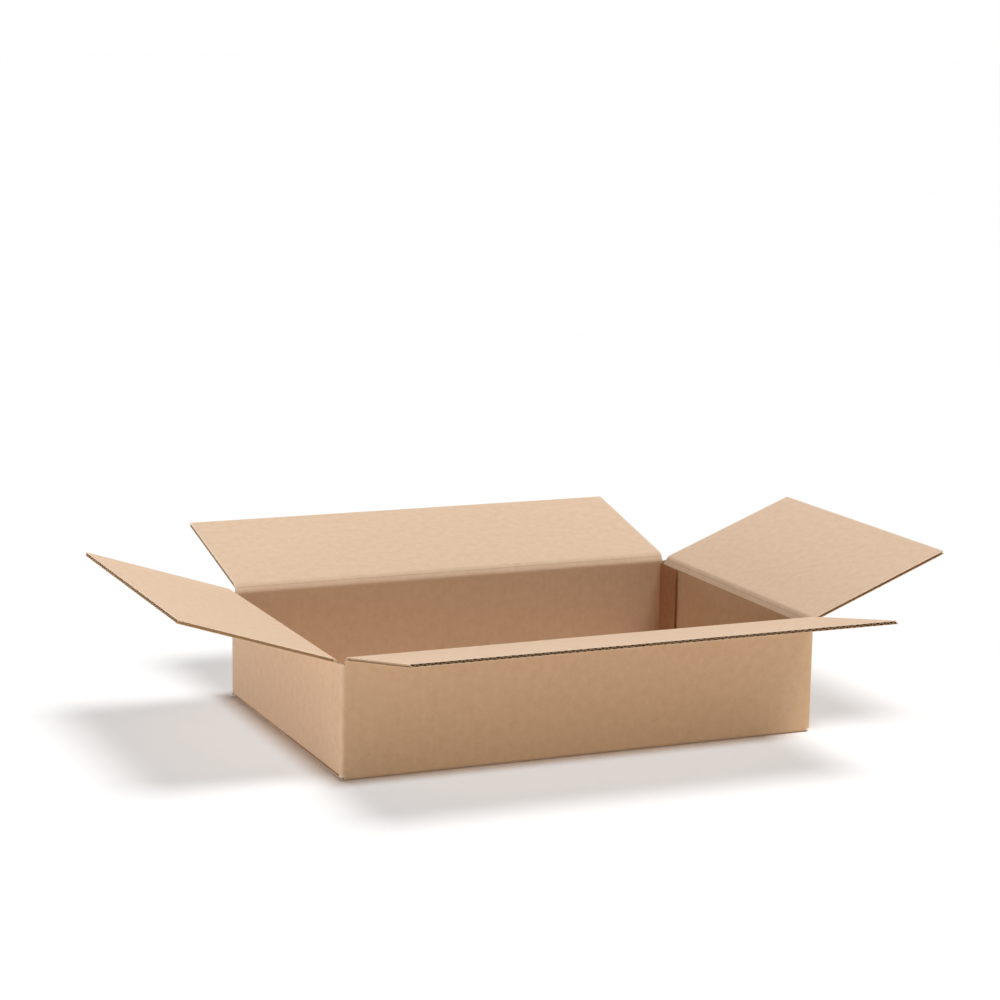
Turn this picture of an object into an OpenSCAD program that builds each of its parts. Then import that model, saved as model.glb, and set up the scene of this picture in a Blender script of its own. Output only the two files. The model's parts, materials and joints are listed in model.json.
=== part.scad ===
// Shallow shipping box of single-wall corrugated board, standing open.
// One slotted blank, folded and glued: four walls, a glue tab inside the back
// right corner, four bottom flaps folded in and glued, and four top flaps that
// swing on their creases. The origin is the middle of the underside, X runs
// along the long walls, Y from the front wall to the back one, and Z is up.

/* [Inside size] */
// Clear length between the two end walls
inner_l = 440; // [260:5:700]
// Clear width between the two long walls
inner_w = 285; // [180:5:420]
// Clear height between the closed end flaps
inner_h = 90; // [60:5:240]

/* [Board] */
// Thickness of the corrugated board
board_t = 3; // [1.5:0.5:6]
// Inside radius of a fold
fold_r = 1; // [0.5:0.5:3]

/* [Flaps] */
// Gap along the middle where two long flaps meet
seam_gap = 2; // [0.5:0.5:8]
// Room between a closed end flap and the long wall beside it
side_clear = 0.75; // [0.5:0.25:3]
// Room between a closed long flap and the closed end flap under it
layer_clear = 0.3; // [0.2:0.1:1]
// Distance from a crease line to the mitred board on each side of it
crease_clear = 0.4; // [0.2:0.1:0.5]

/* [Glue tab] */
// Width of the glue tab, from the back wall's outer face
tab_w = 35; // [25:1:60]
// Room between the tab and the closed end flaps above and below it
tab_clear = 0.5; // [0.5:0.5:5]

/* [How far each flap stands open] */
// Front flap, degrees above level
front_open = 11; // [0:1:80]
// Back flap, degrees above level
back_open = 13; // [0:1:80]
// Left end flap, degrees above level
left_open = 18; // [0:0.5:80]
// Right end flap, degrees above level
right_open = 21.5; // [0:0.5:80]

/* [Hidden] */
$fn = 48;
kraft_outside = "#b8936c";
kraft_inside = "#dcbd9d";

outer_l = inner_l + 2 * board_t;
outer_w = inner_w + 2 * board_t;
bend_r = fold_r + board_t; // outside radius of a fold

// Heights of the crease lines, from the table up. The end flaps fold in first,
// so they lie inside the long ones, at the bottom and at the top.
end_bottom_z = board_t;
floor_z = 2 * board_t;
end_top_z = floor_z + inner_h + board_t;
long_top_z = end_top_z + layer_clear + board_t;

// Every flap is half the width of the box, so the two long ones meet.
flap_len = (outer_w - seam_gap) / 2;

// A slot parts neighbouring flaps at each corner. It leaves the end flaps free
// of the long walls, and ends at the end flaps' crease line.
slot_half = board_t + side_clear;
long_flap_w = outer_l - 2 * slot_half;
end_flap_w = outer_w - 2 * slot_half;
slot_end_z = end_top_z - crease_clear;
ring_top_z = slot_end_z - board_t; // the foot of the end walls' mitre
ring_bottom_z = end_bottom_z + bend_r; // where the end walls start to bend in

tab_bottom_z = floor_z + tab_clear;
tab_top_z = end_top_z - board_t - tab_clear;
groove_root = board_t / 2; // how far glue fills the groove beside the tab's bend
overlap = 0.5; // how far joined shapes of one solid run into each other

module rounded_plan(l, w, r) {
    square([l - 2 * r, w], center = true);
    square([l, w - 2 * r], center = true);
    for (x = [-1, 1], y = [-1, 1])
        translate([x * (l / 2 - r), y * (w / 2 - r)]) circle(r);
}

// Where the back wall bends away into the tab, the end wall's cut edge stands
// beside it, and leaves a narrow upright groove between the two.
module tab_fold_groove() {
    translate([inner_l / 2 - bend_r, outer_w / 2 - bend_r])
        difference() {
            translate([0, groove_root]) square([bend_r, bend_r - groove_root + overlap]);
            circle(bend_r);
        }
}

// The walls seen from above, one board thick.
module wall_plan() {
    difference() {
        union() {
            rounded_plan(outer_l, outer_w, bend_r);
            translate([inner_l / 2, 0]) square([board_t, outer_w / 2]);
        }
        rounded_plan(inner_l, inner_w, fold_r);
        tab_fold_groove();
    }
}

// The folded corners seen from above, where no flap is attached. Each reaches
// the given distance along both walls.
module corner_plan(reach) {
    intersection() {
        wall_plan();
        for (x = [-1, 1], y = [-1, 1])
            translate([x * (outer_l - reach) / 2, y * (outer_w - reach) / 2])
                square([reach, reach], center = true);
    }
}

// Side view of a bottom flap that bends in from its wall. The wall's outer
// face lies on X 0 and the flap runs along +X, with its underside on Y 0.
module bottom_profile(wall_top) {
    intersection() {
        difference() {
            translate([bend_r, bend_r]) circle(bend_r);
            translate([bend_r, bend_r]) circle(fold_r);
        }
        square([bend_r, bend_r]);
    }
    translate([bend_r, 0]) square([flap_len - bend_r, board_t]);
    translate([0, bend_r]) square([board_t, wall_top - bend_r]);
}

// Side view of a wall's top edge, with its outer face on X 0. The board is
// crushed along the crease, which leaves it a slanted edge.
module top_edge_profile(foot_z, crease_z) {
    polygon([
        [0, foot_z],
        [board_t, foot_z],
        [board_t, crease_z - crease_clear - board_t],
        [0, crease_z - crease_clear]
    ]);
}

// Side view of a top flap that runs along +X from its crease line, with its
// outer face on Y 0.
module flap_profile() {
    polygon([
        [crease_clear, 0],
        [flap_len, 0],
        [flap_len, board_t],
        [crease_clear + board_t, board_t]
    ]);
}

// Stands a side view up in the XZ plane and draws it out along Y.
module draw_out(width) {
    rotate([90, 0, 0]) linear_extrude(width, center = true) children();
}

// Turns a shape that faces +X towards one of the four sides. The second turn
// points it inwards, from the wall's outer face to the middle of the box.
module inwards_from(turn, half) {
    rotate([0, 0, turn]) translate([half, 0, 0]) mirror([1, 0, 0]) children();
}

module glue_tab() {
    translate([inner_l / 2 - board_t, outer_w / 2 - tab_w, tab_bottom_z])
        cube([board_t, tab_w - bend_r + overlap, tab_top_z - tab_bottom_z]);
    // The inside of the bend, where the back wall turns into the tab.
    translate([inner_l / 2 - bend_r, outer_w / 2 - bend_r, tab_bottom_z])
        linear_extrude(tab_top_z - tab_bottom_z)
            intersection() {
                difference() {
                    circle(bend_r);
                    circle(fold_r);
                }
                square([bend_r, bend_r]);
            }
}

module walls() {
    translate([0, 0, ring_bottom_z])
        linear_extrude(ring_top_z - ring_bottom_z) wall_plan();
    translate([0, 0, end_bottom_z])
        linear_extrude(bend_r + overlap) corner_plan(slot_half + overlap);
    translate([0, 0, ring_top_z - overlap])
        linear_extrude(slot_end_z - ring_top_z + overlap) corner_plan(board_t);
}

module carton_body() {
    color(kraft_outside) union() {
        walls();
        glue_tab();
        for (turn = [-90, 90])
            inwards_from(turn, outer_w / 2) draw_out(long_flap_w) {
                bottom_profile(ring_bottom_z + overlap);
                top_edge_profile(ring_top_z - overlap, long_top_z);
            }
        for (turn = [0, 180])
            inwards_from(turn, outer_l / 2) draw_out(end_flap_w) {
                translate([0, end_bottom_z]) bottom_profile(bend_r + overlap);
                top_edge_profile(ring_top_z - overlap, end_top_z);
            }
    }
}

// A top flap on its crease line, lifted above level by its opening.
module top_flap(turn, half, crease_z, width, opening) {
    color(kraft_inside)
        rotate([0, 0, turn])
            translate([half, 0, crease_z])
                rotate([0, -opening, 0])
                    draw_out(width) flap_profile();
}

module front_flap() {
    top_flap(-90, outer_w / 2, long_top_z, long_flap_w, front_open);
}

module back_flap() {
    top_flap(90, outer_w / 2, long_top_z, long_flap_w, back_open);
}

module left_flap() {
    top_flap(180, outer_l / 2, end_top_z, end_flap_w, left_open);
}

module right_flap() {
    top_flap(0, outer_l / 2, end_top_z, end_flap_w, right_open);
}

carton_body();
front_flap();
back_flap();
left_flap();
right_flap();
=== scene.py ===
# %% [markdown]
# # An open shipping box of corrugated board
# The real box is one die-cut blank of corrugated board: two sheets of kraft
# paper, the liners, glued to the crests of a fluted sheet between them. The
# blank is wrapped round four corners, closed with a glued tab, and its flaps
# are bent on crushed crease lines.
#
# The lesson builds each of those sheets and folds it up the same way, inside a
# fixed frame that holds the box's solids and its hinges. The frame comes first,
# because every piece below takes its place from it.

# %% Load the frame
import json
import math

import bmesh
import bpy
from mathutils import Matrix, Vector


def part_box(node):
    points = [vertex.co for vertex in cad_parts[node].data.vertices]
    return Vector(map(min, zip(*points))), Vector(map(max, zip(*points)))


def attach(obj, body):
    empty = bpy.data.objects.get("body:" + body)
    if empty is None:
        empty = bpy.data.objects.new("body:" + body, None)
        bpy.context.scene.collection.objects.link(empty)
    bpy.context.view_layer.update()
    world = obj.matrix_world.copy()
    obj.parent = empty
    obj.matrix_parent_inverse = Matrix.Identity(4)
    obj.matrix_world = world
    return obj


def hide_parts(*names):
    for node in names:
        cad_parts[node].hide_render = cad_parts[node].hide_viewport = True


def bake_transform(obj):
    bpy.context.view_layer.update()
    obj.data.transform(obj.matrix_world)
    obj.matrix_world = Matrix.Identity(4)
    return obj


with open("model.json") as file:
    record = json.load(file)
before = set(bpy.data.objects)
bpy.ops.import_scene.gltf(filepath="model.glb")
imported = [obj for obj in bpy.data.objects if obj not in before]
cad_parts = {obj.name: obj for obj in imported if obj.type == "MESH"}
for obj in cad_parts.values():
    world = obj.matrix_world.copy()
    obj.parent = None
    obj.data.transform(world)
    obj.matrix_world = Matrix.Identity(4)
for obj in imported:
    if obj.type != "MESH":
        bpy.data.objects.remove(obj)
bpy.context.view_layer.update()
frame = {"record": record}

# %% [markdown]
# ## Sizes
# The walls and the creases are read from the frame. What the frame's plain
# solids don't show is written here once: the paper's thickness, the spacing of
# the flutes, and the room that the folds take. B-flute board has about 154
# waves a metre, and its liners are near 0.3 mm thick.

# %% Sizes of the board and the box
MM = 0.001
TINY = 1e-6              # points closer than this are one point
BOARD = 3.0 * MM
LINER = 0.32 * MM
FLUTE_PITCH = 6.5 * MM
SLOT = 3.75 * MM         # from a corner's outer face to the flap beside it
INNER_BEND = SLOT - BOARD
CREASE_CLEAR = 0.4 * MM  # the plain solids stay this far from a crease
FLAP = 144.5 * MM        # from the crease to the free edge, the same on all eight
TAB_WIDTH = 35.0 * MM

far_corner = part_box("carton_body")[1]
HALF_L, HALF_W = far_corner[0], far_corner[1]
print("outside", round(2 * HALF_L / MM, 1), "x", round(2 * HALF_W / MM, 1), "mm")

# %% [markdown]
# Between the bends at the bottom and the lower of the creases, the four walls
# run straight, as one ring. The corners go on a little, to the slots, where the
# blank is cut off square.

# %% Heights of the ring and the corners
joints = {joint["name"]: joint for joint in frame["record"]["behaviour"]["joints"]}
END_CREASE = joints["left_crease"]["pos_m"][2]
RING_LOW = BOARD + SLOT + 0.25 * MM  # just above the higher of the bottom bends
RING_HIGH = END_CREASE - BOARD - CREASE_CLEAR
CORNER_LOW = BOARD
CORNER_HIGH = END_CREASE - CREASE_CLEAR
TAB_EDGE = HALF_W - TAB_WIDTH        # where the glue tab ends on the right wall
print("ring from", round(RING_LOW / MM, 2), "to", round(RING_HIGH / MM, 2), "mm,",
      "corners from", round(CORNER_LOW / MM, 2), "to", round(CORNER_HIGH / MM, 2), "mm")

# %% [markdown]
# ## Working with open sheets
# Paper has almost no thickness, so each liner starts as an open sheet. One edge
# is drawn and then pulled along step by step, which is what extruding an edge
# does. Bevelling a fold rounds it to its bend radius. A box drawn as a solid
# and hollowed out would be quicker, but it has no flat blank to unfold to.

# %% Pull an edge along, and round the folds
def pull(bm, row, step):
    """Extrudes a row of edges by one step, and returns the row at its end."""
    made = bmesh.ops.extrude_edge_only(bm, edges=row)["geom"]
    verts = [g for g in made if isinstance(g, bmesh.types.BMVert)]
    bmesh.ops.translate(bm, verts=verts, vec=step)
    return [g for g in made if isinstance(g, bmesh.types.BMEdge)]


def pulled_sheet(first, steps):
    """An open sheet from one edge and a list of steps. Returns the folds too."""
    bm = bmesh.new()
    row = [bm.edges.new([bm.verts.new(point) for point in first])]
    folds = []
    for step in steps:
        row = pull(bm, row, step)
        folds.append(row[0])
    return bm, folds[:-1]


def round_fold(bm, fold, ease, segments):
    """Rounds one fold, from the distance at which the bend starts."""
    bmesh.ops.bevel(bm, geom=[fold], offset=ease, offset_type="OFFSET", segments=segments,
                    profile=0.5, affect="EDGES", material=-1, clamp_overlap=False)


def steps_between(points):
    """The moves that lead from each point of a path to the next."""
    return [Vector(b) - Vector(a) for a, b in zip(points, points[1:])]


# %% [markdown]
# ## Where each patch lies on the flat blank
# The flutes, and the fibres of the paper, follow the blank and not the folded
# box. So every sheet gets a UV map in metres: u runs round the walls, across
# the flutes, and v runs up the wall and out along the flap. Each panel starts
# on a whole number of flutes, so the ribs in its paper lie over real flutes.
#
# Two more values are painted on the vertices. Wear is 1 along the cut edges and
# fades to 0 within 2 mm, and turns the paper pale and fuzzy there, as handling
# does. Pressed is 1 on a crease line, where the steel wheel has left the paper
# darker. A value only fades between two vertices, so a score line across the
# sheet gives the wear a place to end.

# %% Give a sheet its blank coordinates, its wear and its crease line
PANEL_START = {"front": 0.0,
               "right": 70 * FLUTE_PITCH,
               "back": 120 * FLUTE_PITCH,
               "left": 190 * FLUTE_PITCH}
WEAR_REACH = 2.0 * MM


def lay_out_blank(bm, place_on_blank):
    """Writes the UV map from a function of a vertex and its face."""
    uv = bm.loops.layers.uv.get("blank") or bm.loops.layers.uv.new("blank")
    bm.normal_update()
    for face in bm.faces:
        for loop in face.loops:
            loop[uv].uv = place_on_blank(loop.vert.co, face)


def paint_vertices(bm, name, amount):
    """Writes a named value on every vertex, from a function of the vertex."""
    layer = bm.verts.layers.float.get(name) or bm.verts.layers.float.new(name)
    for vert in bm.verts:
        vert[layer] = amount(vert)


def score(bm, point, normal):
    """Cuts a line across a sheet, so that wear can fade out before it."""
    bmesh.ops.bisect_plane(bm, geom=bm.verts[:] + bm.edges[:] + bm.faces[:], dist=TINY / 10,
                           plane_co=point, plane_no=normal)


print("panels start at", {name: round(u / MM) for name, u in PANEL_START.items()}, "mm")

# %% [markdown]
# ## From a sheet to a finished mesh
# Solidify comes last and grows the sheet away from its face's normal. So the
# sheet is first turned to face the side that shows, and that side stays where
# it is. The face farthest to the right tells which way a sheet looks, because a
# sheet that goes round the box looks every way. Folds and waves are shaded
# smooth, and every edge sharper than 35 degrees is kept crisp.

# %% Turn, thicken and join
CRISP = math.radians(35)


def thicken(bm, looks_towards, thickness):
    """Turns the sheet's rightmost face towards a direction, then grows it away."""
    bm.normal_update()
    rightmost = max(bm.faces, key=lambda face: face.calc_center_median().x)
    if rightmost.normal.dot(Vector(looks_towards)) < 0:
        bmesh.ops.reverse_faces(bm, faces=bm.faces[:])
    bmesh.ops.solidify(bm, geom=bm.faces[:], thickness=thickness)


def gather(target, bm, material_index, matrix=None):
    """Moves a bmesh into a growing one. The slot may be a function of the face."""
    for face in bm.faces:
        face.material_index = material_index(face) if callable(material_index) else material_index
    if matrix is not None:
        bmesh.ops.transform(bm, matrix=matrix, verts=bm.verts[:])
    mesh = bpy.data.meshes.new("passing")
    bm.to_mesh(mesh)
    bm.free()
    target.from_mesh(mesh)
    bpy.data.meshes.remove(mesh)


def finished(name, bm, materials):
    """Makes the object, shaded smooth between its sharp edges."""
    bm.normal_update()
    for face in bm.faces:
        face.smooth = True
    for edge in bm.edges:
        edge.smooth = edge.is_manifold and edge.calc_face_angle(0.0) < CRISP
    mesh = bpy.data.meshes.new(name)
    bm.to_mesh(mesh)
    open_edges = sum(1 for edge in bm.edges if not edge.is_manifold)
    bm.free()
    for material in materials:
        mesh.materials.append(material)
    piece = bpy.data.objects.new(name, mesh)
    bpy.context.scene.collection.objects.link(piece)
    print(name, len(mesh.polygons), "faces,", open_edges, "open edges")
    return piece


# %% [markdown]
# ## Kraft paper
# Unbleached kraft liner is made from long brown softwood fibres, laid down wet
# and pressed, and left uncoated. It looks matt and a little cloudy, with pale
# and dark fibres that lie mostly along the web. The glued flute crests
# underneath telegraph through as faint ribs. A scanned picture of board would
# show all this too, but only once and from one sheet. Noise drawn from the
# blank coordinates bends with the board and never repeats.

# %% Colours, and one function that adds a node
def linear(hex_code):
    """An sRGB hex colour as linear RGBA."""
    parts = [int(hex_code[i:i + 2], 16) / 255 for i in (1, 3, 5)]
    return [c / 12.92 if c <= 0.04045 else ((c + 0.055) / 1.055) ** 2.4 for c in parts] + [1.0]


def add(tree, kind, settings=None, values=None, links=None):
    """Adds a node, sets its settings and inputs, and links sockets into it."""
    made = tree.nodes.new(kind)
    for name, value in (settings or {}).items():
        setattr(made, name, value)
    for name, value in (values or {}).items():
        made.inputs[name].default_value = value
    for name, socket in (links or {}).items():
        tree.links.new(socket, made.inputs[name])
    return made


# %% [markdown]
# A fibre is about 0.04 mm wide and 3 mm long. That is too fine for the render,
# so the flecks are drawn about eight times as wide. The cloudiness, which
# papermakers call formation, has patches of about 8 mm. Both are noises that
# are read in millimetres of the blank.

# %% The clouds and the flecks
PER_MM = 1000.0
FORMATION_PER_MM = 1 / 8
FLECK_ALONG_PER_MM = 1 / 5
FLECK_ACROSS_PER_MM = 1 / 0.35
WEB_LEAN = 0.12  # radians, because no fibres lie quite along the web


def blank_in_mm(tree):
    """A socket with the blank coordinates in millimetres."""
    blank = add(tree, "ShaderNodeUVMap", {"uv_map": "blank"})
    scaled = add(tree, "ShaderNodeVectorMath", {"operation": "SCALE"}, {"Scale": PER_MM},
                 {0: blank.outputs["UV"]})
    return scaled.outputs[0]


def clouds_and_flecks(tree, in_mm):
    """Two sockets with the strength of the clouds and of the flecks."""
    clouds = add(tree, "ShaderNodeTexNoise", None,
                 {"Scale": FORMATION_PER_MM, "Detail": 4.0, "Roughness": 0.6},
                 {"Vector": in_mm})
    stretch = add(tree, "ShaderNodeMapping", None,
                  {"Scale": (FLECK_ALONG_PER_MM, FLECK_ACROSS_PER_MM, 1.0),
                   "Rotation": (0, 0, WEB_LEAN)},
                  {"Vector": in_mm})
    flecks = add(tree, "ShaderNodeTexNoise", None,
                 {"Scale": 1.0, "Detail": 3.0, "Roughness": 0.7, "Distortion": 0.6},
                 {"Vector": stretch.outputs[0]})
    return clouds.outputs["Fac"], flecks.outputs["Fac"]


# %% [markdown]
# Three colours make the paper: its body, a darker shade for the clouds and the
# dark fibres, and a pale one for the lighter fibres. Only the strongest flecks
# show, so their noise counts only above one threshold and below another.

# %% The paper's colour
def paper_colour(tree, body, shade, pale, clouds, flecks):
    """A socket with the colour of clean paper."""
    cloud_share = add(tree, "ShaderNodeMapRange", None,
                      {"From Min": 0.35, "From Max": 0.68, "To Min": 0.0, "To Max": 0.4},
                      {"Value": clouds})
    dark_share = add(tree, "ShaderNodeMapRange", None,
                     {"From Min": 0.42, "From Max": 0.26, "To Min": 0.0, "To Max": 0.55},
                     {"Value": flecks})
    pale_share = add(tree, "ShaderNodeMapRange", None,
                     {"From Min": 0.58, "From Max": 0.78, "To Min": 0.0, "To Max": 0.5},
                     {"Value": flecks})
    cloudy = add(tree, "ShaderNodeMix", {"data_type": "RGBA"},
                 {6: linear(body), 7: linear(shade)}, {0: cloud_share.outputs[0]})
    darker = add(tree, "ShaderNodeMix", {"data_type": "RGBA"}, {7: linear(shade)},
                 {0: dark_share.outputs[0], 6: cloudy.outputs[2]})
    flecked = add(tree, "ShaderNodeMix", {"data_type": "RGBA"}, {7: linear(pale)},
                  {0: pale_share.outputs[0], 6: darker.outputs[2]})
    return flecked.outputs[2]


# %% [markdown]
# Use leaves two marks. Handling rubs the cut edges pale, in patches, and the
# wheel that made the crease has pressed its fibres tight, which makes them
# darker. Both follow the values painted on the vertices.

# %% Wear and crease lines
PRESSED_TONE = "#ddd6cc"


def handled_colour(tree, colour, pale, clouds):
    """A socket with the paper's colour after it was creased and handled."""
    wear = add(tree, "ShaderNodeAttribute", {"attribute_name": "wear"})
    rubbed = add(tree, "ShaderNodeMath", {"operation": "MULTIPLY"}, None,
                 {0: wear.outputs["Fac"], 1: clouds})
    worn = add(tree, "ShaderNodeMix", {"data_type": "RGBA"}, {7: linear(pale)},
               {0: rubbed.outputs[0], 6: colour})
    pressed = add(tree, "ShaderNodeAttribute", {"attribute_name": "pressed"})
    creased = add(tree, "ShaderNodeMix", {"data_type": "RGBA", "blend_type": "MULTIPLY"},
                  {7: linear(PRESSED_TONE)}, {0: pressed.outputs["Fac"], 6: worn.outputs[2]})
    return creased.outputs[2]


# %% [markdown]
# The ribs repeat with the flutes and stand only a few hundredths of a
# millimetre high, so they are a sine in the bump and not in the mesh. The
# fibres give the paper a fine tooth on top. Uncoated paper has next to no
# gloss, so its roughness is high, and its IOR is that of cellulose, 1.47.

# %% The paper's relief, and the whole material
FIBRE_RELIEF = 0.03 * MM


def paper_relief(tree, in_mm, flecks, rib_depth):
    """A socket with the normal of paper over ribs of some depth."""
    split = add(tree, "ShaderNodeSeparateXYZ", None, None, {0: in_mm})
    phase = add(tree, "ShaderNodeMath", {"operation": "MULTIPLY"},
                {1: 2 * math.pi / (FLUTE_PITCH / MM)}, {0: split.outputs["X"]})
    ribs = add(tree, "ShaderNodeMath", {"operation": "SINE"}, None, {0: phase.outputs[0]})
    ribbed = add(tree, "ShaderNodeBump", None, {"Strength": 1.0, "Distance": rib_depth},
                 {"Height": ribs.outputs[0]})
    fibrous = add(tree, "ShaderNodeBump", None, {"Strength": 0.25, "Distance": FIBRE_RELIEF},
                  {"Height": flecks, "Normal": ribbed.outputs[0]})
    return fibrous.outputs[0]


def kraft_paper(name, body, shade, pale, rib_depth):
    """Uncoated paper from three hex colours, over ribs of some depth."""
    material = bpy.data.materials.new(name)
    material.use_nodes = True
    tree = material.node_tree
    tree.nodes.clear()
    in_mm = blank_in_mm(tree)
    clouds, flecks = clouds_and_flecks(tree, in_mm)
    clean = paper_colour(tree, body, shade, pale, clouds, flecks)
    paper = add(tree, "ShaderNodeBsdfPrincipled", None,
                {"Roughness": 0.88, "IOR": 1.47, "Metallic": 0.0},
                {"Base Color": handled_colour(tree, clean, pale, clouds),
                 "Normal": paper_relief(tree, in_mm, flecks, rib_depth)})
    add(tree, "ShaderNodeOutputMaterial", None, None, {"Surface": paper.outputs[0]})
    return material


# %% [markdown]
# The outer liner is a darker, stronger kraft, and the ribs show most in it. The
# inner one is lighter. The fluted sheet is mostly recycled fibre, which gives
# it a duller, yellower brown. Where the tab is glued, the paper is painted a
# dark reddish brown: painted shade on the glued strip.

# %% The four papers
KRAFT_OUTER = kraft_paper("kraft_paper_outside", "#d6b38f", "#c49e78", "#e6ceb0", 0.03 * MM)
KRAFT_INNER = kraft_paper("kraft_paper_inside", "#dec1a5", "#ceac8c", "#eedcc8", 0.02 * MM)
FLUTING = kraft_paper("recycled_fluting_paper", "#cdab82", "#b7926a", "#e0c6a2", 0.0)
# The tab's paper: the inner liner's kraft painted darker, as painted shade.
TAB_SHADE_PAPER = kraft_paper("kraft_paper_glue_soaked", "#bb8c6a", "#a37552", "#cda17e", 0.02 * MM)
PAPERS = [KRAFT_OUTER, KRAFT_INNER, FLUTING, TAB_SHADE_PAPER]
OUTER, INNER, WAVE, TAB_SHADE = range(4)
print("papers", [paper.name for paper in PAPERS])

# %% [markdown]
# ## The fluted sheet
# The corrugator presses the middle sheet between two gear-like rolls. A grid
# is the flat sheet, and moving its rows up and down on a sine is the pressing.
# The flutes run up the walls and out along the flaps, so their open ends show
# at every free edge. A striped picture on a plain edge would be cheaper, but
# it has no holes to look into.

# %% Press a sheet into flutes
MEDIUM = 0.24 * MM  # the fluted sheet's paper
STEPS_PER_WAVE = 10
WAVE_RISE = (BOARD - 2 * LINER - MEDIUM) / 2


def fluted_sheet(width, length):
    """A fluted sheet in the XY plane, centred, with its flutes along Y."""
    count = round(width / FLUTE_PITCH * STEPS_PER_WAVE)
    bm = bmesh.new()
    bmesh.ops.create_grid(bm, x_segments=count, y_segments=1, size=0.5)
    bmesh.ops.scale(bm, vec=(width, length, 1.0), verts=bm.verts[:])
    for vert in bm.verts:
        vert.co.z = WAVE_RISE * math.sin(2 * math.pi * vert.co.x / FLUTE_PITCH)
    lay_out_blank(bm, lambda co, face: (co.x, co.y))
    bmesh.ops.translate(bm, verts=bm.verts[:], vec=(0, 0, MEDIUM / 2))
    thicken(bm, (0, 0, 1), MEDIUM)
    return bm


print("flutes rise", round(2 * WAVE_RISE / MM, 2), "mm from trough to crest")

# %% [markdown]
# ## Four sides from one
# Everything on a side is made for the front wall, which looks along -Y, and
# then turned about Z. This table holds each side's turn, the distance to its
# outer face, the width between its slots, the height of its crease, how far its
# top flap stands above level, and the height of its bottom flap. A top flap
# that has turned right back to its lower limit lies level over the box, so its
# hinge's range gives the angle at which it stands open.

# %% The table of sides
TURN = {"front": 0.0, "right": 90.0, "back": 180.0, "left": -90.0}
SIDES = {}
for name, turn in TURN.items():
    is_long = name in ("front", "back")
    hinge = joints[name + "_crease"]
    SIDES[name] = {
        "turn": Matrix.Rotation(math.radians(turn), 4, "Z"),
        "reach": HALF_W if is_long else HALF_L,
        "width": 2 * ((HALF_L if is_long else HALF_W) - SLOT),
        "crease": hinge["pos_m"][2],
        "opening": math.radians(180 + hinge["range_deg"][0]),
        "deck": 0.0 if is_long else BOARD,
    }
    print(name, "crease at", round(SIDES[name]["crease"] / MM, 1), "mm,",
          "flap", round(SIDES[name]["width"] / MM, 1), "mm wide,",
          "open at", round(math.degrees(SIDES[name]["opening"]), 1), "degrees")

# %% [markdown]
# ## Wrapping the walls
# The plan of each liner is a short list of corners. An upright edge is pulled
# through them, from the right wall's cut end, round three corners and the back
# wall, to the tab that lies inside the right wall. Then the four folds are
# rounded.

# %% Wrap one liner round the box
BEND_STEPS = 6  # flat strips in a quarter bend


def wrapped_walls(depth, bend):
    """The open sheet of one liner, at a depth from the outer faces."""
    x, y = HALF_L - depth, HALF_W - depth
    tab_x = x - BOARD
    plan = [(x, HALF_W), (x, HALF_W - SLOT), (x, -y), (-x, -y),
            (-x, y), (tab_x, y), (tab_x, TAB_EDGE)]
    points = [(px, py, RING_LOW) for px, py in plan]
    first = [points[0], (points[0][0], points[0][1], RING_HIGH)]
    bm, folds = pulled_sheet(first, steps_between(points))
    # The first of them only marks the end of the slot, where the wall is straight.
    for fold in folds[1:]:
        round_fold(bm, fold, bend, BEND_STEPS)
    return bm


def rim(bm, height, test):
    """The border edges at a height whose both ends pass a test."""
    return [edge for edge in bm.edges if edge.is_boundary
            and all(abs(v.co.z - height) < TINY and test(v.co) for v in edge.verts)]


# %% [markdown]
# ## Corners and bottom flaps
# Between the flaps the blank is slotted, so at each corner the wall ends in a
# short cut edge. Along each side the sheet goes on: it bends under with a spin
# of a quarter turn and is pulled in to the middle. The end flaps fold first,
# so they lie one board higher than the long ones, and all four are glued.

# %% Finish the corners, then fold the bottom
def draw_corners(bm, depth):
    """Lengthens the corner stretches up and down to the ends of the slots."""
    def in_corner(co):
        beside_tab = co.y > 0 and 0 < co.x < HALF_L - depth - TINY
        past_slots = abs(co.x) > HALF_L - SLOT - TINY and abs(co.y) > HALF_W - SLOT - TINY
        return past_slots and not beside_tab

    for height, end in ((RING_HIGH, CORNER_HIGH), (RING_LOW, CORNER_LOW)):
        row = rim(bm, height, in_corner)
        short = [edge for edge in row if edge.calc_length() < 2 * SLOT]
        pull(bm, short, (0, 0, end - height))


def fold_bottom(bm, side, bend):
    """Bends one side's lower edge under the box and pulls it to the middle."""
    outward = side["turn"] @ Vector((0, -1, 0))
    along = side["turn"] @ Vector((1, 0, 0))
    centre_z = side["deck"] + SLOT
    face = side["reach"] - SLOT + bend
    half = side["width"] / 2 + TINY
    row = rim(bm, RING_LOW,
              lambda co: abs(co.dot(outward) - face) < TINY and abs(co.dot(along)) < half)
    row = pull(bm, row, (0, 0, centre_z - RING_LOW))
    ends = list(dict.fromkeys(vert for edge in row for vert in edge.verts))
    bent = bmesh.ops.spin(bm, geom=ends + row,
                          cent=outward * (side["reach"] - SLOT) + Vector((0, 0, centre_z)),
                          axis=outward.cross(Vector((0, 0, -1))), dvec=(0, 0, 0),
                          angle=math.pi / 2, steps=BEND_STEPS,
                          use_merge=False, use_duplicate=False)
    row = [g for g in bent["geom_last"] if isinstance(g, bmesh.types.BMEdge)]
    pull(bm, row, outward * (SLOT - FLAP))


# %% [markdown]
# The blank coordinates of a wall are its length and its height. On a bottom
# flap they are the same length and the distance in from the wall.

# %% Place a wall or bottom flap on the blank
LIES_FLAT = 0.7  # a face whose normal has more Z than this lies in the bottom


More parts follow.
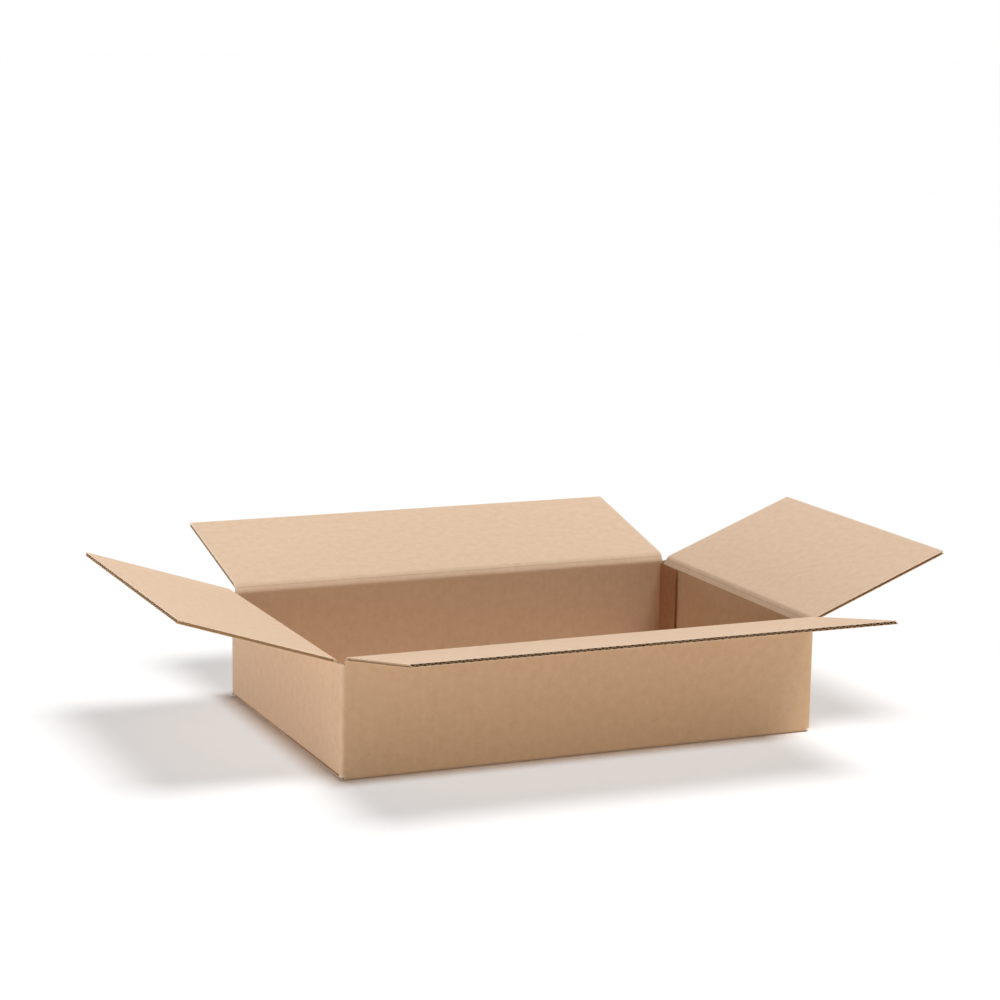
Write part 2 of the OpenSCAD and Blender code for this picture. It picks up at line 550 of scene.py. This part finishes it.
def carton_on_blank(long_deck):
    """Returns the function for a liner whose long flaps lie below a height."""
    def place(co, face):
        normal = face.normal
        if abs(normal.z) > LIES_FLAT:
            if face.calc_center_median().z < long_deck:
                side = "front" if co.y < 0 else "back"
                return (PANEL_START[side] + co.x, abs(co.y) - HALF_W)
            side = "left" if co.x < 0 else "right"
            return (PANEL_START[side] + co.y, abs(co.x) - HALF_L)
        if abs(normal.y) > abs(normal.x):
            return (PANEL_START["front" if co.y < 0 else "back"] + co.x, co.z)
        return (PANEL_START["left" if co.x < 0 else "right"] + co.y, co.z)
    return place


# %% [markdown]
# The two liners differ only in their depth and in the radius of their bends.
# Where the inner one covers the tab it is painted darker, as painted shade.

# %% Build both liners of the carton
TAB_DEPTH = 0.4 * MM  # the tab's faces lie this near to its inner face


def carton_liner(depth, bend):
    """One liner of walls and bottom flaps, still without thickness."""
    bm = wrapped_walls(depth, bend)
    draw_corners(bm, depth)
    for side in SIDES.values():
        fold_bottom(bm, side, bend)
    bmesh.ops.remove_doubles(bm, verts=bm.verts[:], dist=TINY)
    for reach, normal in ((HALF_L, Vector((1, 0, 0))), (HALF_W, Vector((0, 1, 0)))):
        for distance in (reach - SLOT - WEAR_REACH, reach - FLAP + WEAR_REACH):
            for way in (-1, 1):
                score(bm, normal * way * distance, normal)

    def is_cut(vert):
        return vert.is_boundary and not RING_LOW - TINY < vert.co.z < RING_HIGH + TINY

    paint_vertices(bm, "wear", lambda vert: 1.0 if is_cut(vert) else 0.0)
    lay_out_blank(bm, carton_on_blank(depth + BOARD / 2))
    return bm


def tab_or_inner(face):
    """The slot of one face of the inner liner."""
    centre = face.calc_center_median()
    on_tab = centre.y > TAB_EDGE - TINY and abs(centre.x - (HALF_L - 2 * BOARD)) < TAB_DEPTH
    # Faces on the tab get the paper painted with shade.
    return TAB_SHADE if on_tab else INNER


carton = bmesh.new()
outer = carton_liner(0.0, SLOT)
thicken(outer, (1, 0, 0), LINER)
print("outer liner", len(outer.faces), "faces")
gather(carton, outer, OUTER)

inner = carton_liner(BOARD, INNER_BEND)
thicken(inner, (-1, 0, 0), LINER)
print("inner liner", len(inner.faces), "faces")
gather(carton, inner, tab_or_inner)

# %% [markdown]
# ## What fills the board
# Inside the walls and the bottom flaps lies the fluted sheet. Each panel gets
# its own, stood up or laid down between its liners. On a flap it stops a little
# short of the cut edges, where the knife has squeezed the soft flutes back.

# %% Flutes of the walls and the bottom flaps
CORE_END = 0.1 * MM   # the cut flutes stand back this far from the liners' edge
SIDE_ROOM = 0.4 * MM  # a flap's flutes are this much narrower than its liners
wall_low = SLOT + INNER_BEND      # a wall's flutes start above the bottom bend
wall_high = RING_HIGH + 0.6 * MM  # and end inside the crushed board of the crease
for side in SIDES.values():
    bend_top = side["deck"] + wall_low
    middle_z = (bend_top + wall_high) / 2
    stand = side["turn"] @ Matrix.Translation((0, BOARD / 2 - side["reach"], middle_z))
    gather(carton, fluted_sheet(side["width"], wall_high - bend_top), WAVE,
           stand @ Matrix.Rotation(math.pi / 2, 4, "X"))
    flute_run = FLAP - SLOT - CORE_END
    middle = side["reach"] - SLOT - flute_run / 2
    lie = side["turn"] @ Matrix.Translation((0, -middle, side["deck"] + BOARD / 2))
    gather(carton, fluted_sheet(side["width"] - SIDE_ROOM, flute_run), WAVE, lie)
print("with its flutes the carton has", len(carton.faces), "faces")

# %% [markdown]
# At the corners the flutes are crushed by the fold, so a smooth curved filling
# stands there, spun from one upright edge. More waves, bent round the corner,
# would cost faces that nobody sees between the liners.

# %% The crushed board in the corners
CRUSH_ROOM = 0.15 * MM  # the crushed flutes stay this clear of each liner
CRUSHED = BOARD - 2 * LINER - 2 * CRUSH_ROOM


def corner_filling(x, y, quarter):
    """A quarter bend of crushed flutes round a corner's upright axis."""
    bm = bmesh.new()
    radius = INNER_BEND + BOARD - LINER - CRUSH_ROOM
    low_end, high_end = CORNER_LOW + CORE_END, CORNER_HIGH - CORE_END
    ends = [bm.verts.new((x + radius, y, z)) for z in (low_end, high_end)]
    row = [bm.edges.new(ends)]
    turn_to_corner = Matrix.Rotation(quarter * math.pi / 2, 3, "Z")
    bmesh.ops.rotate(bm, verts=ends, cent=(x, y, 0), matrix=turn_to_corner)
    bmesh.ops.spin(bm, geom=ends + row, cent=(x, y, 0), axis=(0, 0, 1), dvec=(0, 0, 0),
                   angle=math.pi / 2, steps=BEND_STEPS, use_merge=False, use_duplicate=False)
    lay_out_blank(bm, lambda co, face: (co.x + co.y, co.z))
    outward = Vector((1, 1, 0))
    outward.rotate(turn_to_corner)
    thicken(bm, outward, CRUSHED)
    return bm


fold_x, fold_y = HALF_L - SLOT, HALF_W - SLOT
for x, y, quarter in ((-fold_x, fold_y, 1), (-fold_x, -fold_y, 2), (fold_x, -fold_y, 3)):
    gather(carton, corner_filling(x, y, quarter), WAVE)

# %% [markdown]
# The tab is a strip of the same board. It and the right wall's cut end beside
# it get short fluted sheets of their own, because both show their open ends at
# the top of the glued corner.

# %% The flutes of the tab and of the wall end beside it
TAB_SHORT = 4.0 * MM  # the tab's flutes are this much shorter than the walls'
upright = Matrix.Rotation(math.pi / 2, 4, "Z") @ Matrix.Rotation(math.pi / 2, 4, "X")
tab_width = fold_y - TAB_EDGE
tab_middle = (HALF_L - 1.5 * BOARD, TAB_EDGE + tab_width / 2 + CORE_END,
              (wall_low + wall_high) / 2)
gather(carton, fluted_sheet(tab_width, wall_high - wall_low - TAB_SHORT), WAVE,
       Matrix.Translation(tab_middle) @ upright)
end_middle = (HALF_L - BOARD / 2, HALF_W - SLOT / 2 - CORE_END, (wall_low + CORNER_HIGH) / 2)
gather(carton, fluted_sheet(SLOT, CORNER_HIGH - wall_low - 2 * CORE_END), WAVE,
       Matrix.Translation(end_middle) @ upright)
print("with its corners and its tab the carton has", len(carton.faces), "faces")

# %% [markdown]
# Walls, bottom flaps and tab are one glued piece that never moves in itself, so
# they become one object. It stands for the plain solid and rides on its body.

# %% Put the carton on its body
carton_board = finished("carton_board", carton, PAPERS)
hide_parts("carton_body")
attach(carton_board, "carton")

# %% [markdown]
# ## The top flaps
# A flap is the same board as its wall, bent back on its crease. The crease is
# a line where a steel wheel crushed the flutes flat, so the two liners come
# together there and the board can turn on a sharp line. The outer liner runs
# straight up the wall and turns out on the crease. The inner one leaves the
# wall early, crosses the crease and climbs on to the flap, which rounds the
# rim of an open box.

# %% Section of one open flap
CREASE_WEB = 0.8 * MM  # what is left of the board's thickness on the crease


def flap_point(opening, out, up):
    """A flap's point at a distance from the crease and a height in the board."""
    return (up * math.sin(opening) - out * math.cos(opening),
            up * math.cos(opening) + out * math.sin(opening))


def liner_paths(side):
    """The (y, z) paths of the outer and the inner liner, from the crease."""
    opening = side["opening"]
    foot = RING_HIGH - side["crease"]
    shoulder = BOARD + CREASE_CLEAR
    lift = (math.pi / 2 + opening) / 2
    outer_path = [(0, foot), (0, 0), flap_point(opening, FLAP, 0)]
    inner_path = [(BOARD, foot), (BOARD, -shoulder),
                  (CREASE_WEB * math.cos(lift), CREASE_WEB * math.sin(lift)),
                  flap_point(opening, shoulder, BOARD), flap_point(opening, FLAP, BOARD)]
    return outer_path, inner_path


# %% [markdown]
# Each path is pulled out to a sheet, and its folds are rounded as board rounds
# them: tight on the crease, and softer where the inner liner leaves the wall
# and reaches the flap. A bevel names how far from the fold the bend starts.

# %% Bend a liner over the crease
OUTER_EASES = [(0.6 * MM, 4)]
INNER_EASES = [(1.6 * MM, 5), (0.9 * MM, 4), (1.6 * MM, 5)]
PRESSED_REACH = 0.5 * MM


def crease_climb(side):
    """The way from the wall up across the crease, halfway between wall and flap."""
    opening = side["opening"]
    return Vector((0, -math.cos(opening), math.sin(opening) + 1)).normalized()


def flap_liner(side, path, eases, looks_towards):
    """One liner of a flap, from the wall over the crease to the free edge."""
    half = side["width"] / 2
    points = [(-half, *point) for point in path]
    bm, folds = pulled_sheet([points[0], (half, *path[0])], steps_between(points))
    for fold, (ease, segments) in reversed(list(zip(folds, eases))):
        round_fold(bm, fold, ease, segments)
    for x in (-half + WEAR_REACH, half - WEAR_REACH):
        score(bm, (x, 0, 0), (1, 0, 0))
    run = Vector((0, *flap_point(side["opening"], FLAP - WEAR_REACH, 0)))
    score(bm, run, run.normalized())
    foot, climb = path[0][1], crease_climb(side)
    crease_point = Vector((0, *path[len(path) // 2]))

    def worn(vert):
        return 1.0 if vert.is_boundary and vert.co.z > foot + TINY else 0.0

    def pressed(vert):
        distance = abs((vert.co - crease_point).dot(climb))
        return max(0.0, 1 - distance / PRESSED_REACH)

    paint_vertices(bm, "wear", worn)
    paint_vertices(bm, "pressed", pressed)
    thicken(bm, looks_towards, LINER)
    return bm


# %% [markdown]
# Beside the crease the flutes are crushed too flat to show a wave. A solid bar
# fills each side, drawn as its outline and extruded along the crease. On the
# end walls the bar is lower, because their crease is closer to the ring.

# %% Fill the board beside the crease
CRUSH_REACH = 6.0 * MM    # the flutes are crushed this far from the crease
CRUSH_OUTER = 1.2 * MM    # the bars start here under the outer liner
CRUSH_INNER = 3.9 * MM    # and here under the inner one
SKIN = LINER + 0.05 * MM  # the bars lie this far below the board's faces


def bar(side, section):
    """A bar of crushed flutes along the crease, from its outline in (y, z)."""
    bm = bmesh.new()
    half = side["width"] / 2 - CORE_END
    face = bm.faces.new([bm.verts.new((-half, *corner)) for corner in section])
    made = bmesh.ops.extrude_face_region(bm, geom=[face])["geom"]
    bmesh.ops.translate(bm, verts=[g for g in made if isinstance(g, bmesh.types.BMVert)],
                        vec=(2 * half, 0, 0))
    bmesh.ops.recalc_face_normals(bm, faces=bm.faces[:])
    return bm


def wall_section(foot):
    """The outline of the bar on the wall, from its foot up to the crease."""
    section = [(SKIN, foot), (SKIN, -CRUSH_OUTER)]
    if foot < -CRUSH_INNER:
        section.append((BOARD - SKIN, -CRUSH_INNER))
    return section + [(BOARD - SKIN, foot)]


def flap_section(opening):
    """The outline of the bar on the flap, from the crease out."""
    corners = ((CRUSH_OUTER, SKIN), (CRUSH_REACH, SKIN),
               (CRUSH_REACH, BOARD - SKIN), (CRUSH_INNER, BOARD - SKIN))
    return [flap_point(opening, out, up) for out, up in corners]


# %% [markdown]
# The two liners, the flutes and the crushed bars make one mesh. All of it is
# laid out on the front side, with the crease as its X axis. There it gets its
# place on the blank, and then it is turned to its own side.

# %% Put one flap together
ON_FLAP_OUT, ON_FLAP_UP = 0.2 * MM, 0.3 * MM  # past these a point is on the flap


def flap_on_blank(name, side):
    """Returns the function that places a flap and the strip of wall below it."""
    def place(co, face):
        on_flap = co.y < -ON_FLAP_OUT or co.z > ON_FLAP_UP
        climb = math.hypot(co.y, co.z) if on_flap else co.z
        return (PANEL_START[name] + co.x, side["crease"] + climb)
    return place


def flap_board(name, side):
    """One top flap, laid out on the front side and then turned to its own."""
    opening = side["opening"]
    outer_path, inner_path = liner_paths(side)
    board = bmesh.new()
    gather(board, flap_liner(side, outer_path, OUTER_EASES, (0, -1, 0)), OUTER)
    gather(board, flap_liner(side, inner_path, INNER_EASES, (0, 1, 0)), INNER)
    gather(board, bar(side, wall_section(RING_HIGH - side["crease"])), WAVE)
    gather(board, bar(side, flap_section(opening)), WAVE)
    run = FLAP - CORE_END - CRUSH_REACH
    middle = flap_point(opening, CRUSH_REACH + run / 2, BOARD / 2)
    lie = Matrix.Translation((0, *middle)) @ Matrix.Rotation(-opening, 4, "X")
    gather(board, fluted_sheet(side["width"] - SIDE_ROOM, run), WAVE, lie)
    lay_out_blank(board, flap_on_blank(name, side))
    to_side = side["turn"] @ Matrix.Translation((0, -side["reach"], side["crease"]))
    bmesh.ops.transform(board, verts=board.verts[:], matrix=to_side)
    return finished(name + "_flap_board", board, PAPERS)


# %% [markdown]
# A flap that was cut at its crease would gape when it swings. So each mesh
# reaches over the crease on to the wall.

for name, side in SIDES.items():
    piece = flap_board(name, side)
    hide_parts(name + "_flap")
    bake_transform(piece)

# %% [markdown]
# ## Floor and background
# The photo shows the box alone on white. A white floor carries its shadow, and
# the world behind it is white too. More light on the box would also make the
# background white, but it would bleach the board. So the floor and the world
# look white only where the camera sees them directly, or by way of a mirror or
# glass. The light that they throw on the board is weaker.

# %% Tell a direct look from other light
def seen_directly(tree):
    """A socket that is 1 for the camera and for anything seen in a mirror or glass."""
    path = add(tree, "ShaderNodeLightPath")
    shiny = add(tree, "ShaderNodeMath", {"operation": "MAXIMUM"}, None,
                {0: path.outputs["Is Glossy Ray"], 1: path.outputs["Is Transmission Ray"]})
    seen = add(tree, "ShaderNodeMath", {"operation": "MAXIMUM"}, None,
               {0: path.outputs["Is Camera Ray"], 1: shiny.outputs[0]})
    return seen.outputs[0]


# %% [markdown]
# The floor glows a little for the camera, so its shadow stays light, as a white
# studio sweep is lit from all around. The glow fades out just before the box,
# which keeps a darker shadow where the board meets the floor. Right under the
# box the floor is painted dark, as painted shade, so the seam between the
# bottom flaps shows from above as the dark slit that it is, and not as a bright
# line. Both follow how far a point of the floor lies outside the box.

# %% Where the floor glows, and where the box covers it
FLOOR_GLOW = 0.55
GLOW_FADE = 25.0 * MM
# Under the box the floor is painted this dark, as painted shade.
COVERED_PAINTED_SHADE = 0.12


def outside_box(tree):
    """A socket with a point's distance from the walls, negative under the box."""
    place = add(tree, "ShaderNodeTexCoord")
    across = add(tree, "ShaderNodeVectorMath", {"operation": "ABSOLUTE"}, None,
                 {0: place.outputs["Object"]})
    beyond = add(tree, "ShaderNodeVectorMath", {"operation": "SUBTRACT"},
                 {1: (HALF_L, HALF_W, 0.0)}, {0: across.outputs[0]})
    split = add(tree, "ShaderNodeSeparateXYZ", None, None, {0: beyond.outputs[0]})
    distance = add(tree, "ShaderNodeMath", {"operation": "MAXIMUM"}, None,
                   {0: split.outputs["X"], 1: split.outputs["Y"]})
    return distance.outputs[0]


def glow_and_shaded_paint(tree, distance):
    """Two sockets: the floor's share of glow, and how white its paint is, with painted shade under
    the box.
    """
    share = add(tree, "ShaderNodeMapRange", {"interpolation_type": "SMOOTHSTEP"},
                {"From Min": -SLOT, "From Max": GLOW_FADE, "To Min": 0.0, "To Max": FLOOR_GLOW},
                {"Value": distance})
    paint_with_painted_shade = add(tree, "ShaderNodeMapRange", None,
               {"From Min": -2 * SLOT, "From Max": -SLOT, "To Min": COVERED_PAINTED_SHADE, "To Max": 1.0},
               {"Value": distance})
    return share.outputs[0], paint_with_painted_shade.outputs[0]


# %% [markdown]
# The floor itself is one big sheet of matt paint. The camera sees white paint
# with its glow, and the board sees a light grey, as paint never throws back
# quite all of the light.

# %% The floor
FLOOR_REACH = 30.0
FLOOR_GREY = linear("#e7e7e7")
WHITE = linear("#ffffff")

paint = bpy.data.materials.new("white_studio_floor")
paint.use_nodes = True
tree = paint.node_tree
tree.nodes.clear()
share, paint_with_painted_shade = glow_and_shaded_paint(tree, outside_box(tree))
matt = add(tree, "ShaderNodeBsdfDiffuse", None, {"Color": FLOOR_GREY})
# This white paint turns to painted shade under the box.
pure = add(tree, "ShaderNodeBsdfDiffuse", None, None, {"Color": paint_with_painted_shade})
glow = add(tree, "ShaderNodeEmission", None, {"Color": WHITE, "Strength": 1.0})
white = add(tree, "ShaderNodeMixShader", None, None,
            {0: share, 1: pure.outputs[0], 2: glow.outputs[0]})
pick = add(tree, "ShaderNodeMixShader", None, None,
           {0: seen_directly(tree), 1: matt.outputs[0], 2: white.outputs[0]})
add(tree, "ShaderNodeOutputMaterial", None, None, {"Surface": pick.outputs[0]})

sheet = bmesh.new()
bmesh.ops.create_grid(sheet, x_segments=1, y_segments=1, size=FLOOR_REACH)
floor = finished("floor", sheet, [paint])

# %% [markdown]
# Behind the floor is the world. The board gets only a little light from it, or
# the inside of the box would be too pale.

# %% The world
WORLD_FILL = 0.06
world = bpy.data.worlds.new("studio")
bpy.context.scene.world = world
world.use_nodes = True
tree = world.node_tree
tree.nodes.clear()
fill = add(tree, "ShaderNodeBackground", None, {"Color": WHITE, "Strength": WORLD_FILL})
white = add(tree, "ShaderNodeBackground", None, {"Color": WHITE, "Strength": 1.0})
pick = add(tree, "ShaderNodeMixShader", None, None,
           {0: seen_directly(tree), 1: fill.outputs[0], 2: white.outputs[0]})
add(tree, "ShaderNodeOutputWorld", None, None, {"Surface": pick.outputs[0]})
print("the world lights the board at", WORLD_FILL, "and looks white")

# %% [markdown]
# ## Light
# The open flaps are the palest faces and the inside is the darkest, so the main
# light is a broad one overhead, a little to the right and to the front. It
# shines on the flaps and the bottom, grazes the inside of the back wall and
# leaves that of the right wall in shade. Low soft lamps all around light the
# outer walls below the flaps. The ones in front and on the left are stronger,
# as in the photo, and the left one is a little cooler. They stand too low to
# reach over the flaps into the box.

# %% The lamps
LAMP_SIZE = (2.0, 0.26)
LAMP_AIM = Vector((0, 0, 0.05))


def soft_sun(name, comes_from, spread, strength):
    """A sun with soft shadows, from a direction."""
    lamp = bpy.data.lights.new(name, "SUN")
    lamp.angle = math.radians(spread)
    lamp.energy = strength
    holder = bpy.data.objects.new(name, lamp)
    holder.rotation_euler = Vector(comes_from).to_track_quat("Z", "Y").to_euler()
    bpy.context.scene.collection.objects.link(holder)
    print(name, strength, "W/m2, over", spread, "degrees of sky")


def soft_lamp(name, place, energy, tint):
    """A long low lamp at a place, turned to look at the box."""
    lamp = bpy.data.lights.new(name, "AREA")
    lamp.shape = "RECTANGLE"
    lamp.size, lamp.size_y = LAMP_SIZE
    lamp.energy = energy
    lamp.color = tint
    holder = bpy.data.objects.new(name, lamp)
    holder.location = place
    holder.rotation_euler = (Vector(place) - LAMP_AIM).to_track_quat("Z", "Y").to_euler()
    holder.visible_camera = False
    bpy.context.scene.collection.objects.link(holder)
    print(name, energy, "W")


soft_sun("overhead", (0.2, -0.12, 1.0), 28.0, 3.0)
soft_lamp("low_front", (-0.3, -2.6, 0.14), 17.0, (1.0, 0.99, 0.95))
soft_lamp("low_left", (-2.6, -0.1, 0.14), 30.0, (0.94, 1.0, 1.16))
soft_lamp("low_back", (0.3, 2.6, 0.14), 9.0, (1.0, 1.0, 1.0))
soft_lamp("low_right", (2.6, 0.1, 0.14), 9.0, (1.0, 1.0, 1.0))

# %% [markdown]
# ## Camera
# The corners of the box in the photo give the camera: it stands some 2.4 m
# away, looks slightly down on the box, and has a long lens. That keeps the long
# edges nearly parallel, as they are there. The lens is worked out from its
# focal length in pixels of a frame that is 1000 pixels wide.

# %% The camera
FOCAL_PX, FRAME_PX = 2645.3, 1000.0
camera_data = bpy.data.cameras.new("camera")
camera_data.sensor_width = 36.0
camera_data.lens = FOCAL_PX * camera_data.sensor_width / FRAME_PX
camera = bpy.data.objects.new("camera", camera_data)
camera.location = (-0.9532, -2.1221, 0.6295)
camera.rotation_euler = [math.radians(a) for a in (79.47, -0.929, -23.583)]
bpy.context.scene.collection.objects.link(camera)
bpy.context.scene.camera = camera
bpy.context.scene.view_settings.view_transform = "Standard"
print("camera", round(camera.location.length, 2), "m away, lens", round(camera_data.lens, 1), "mm")
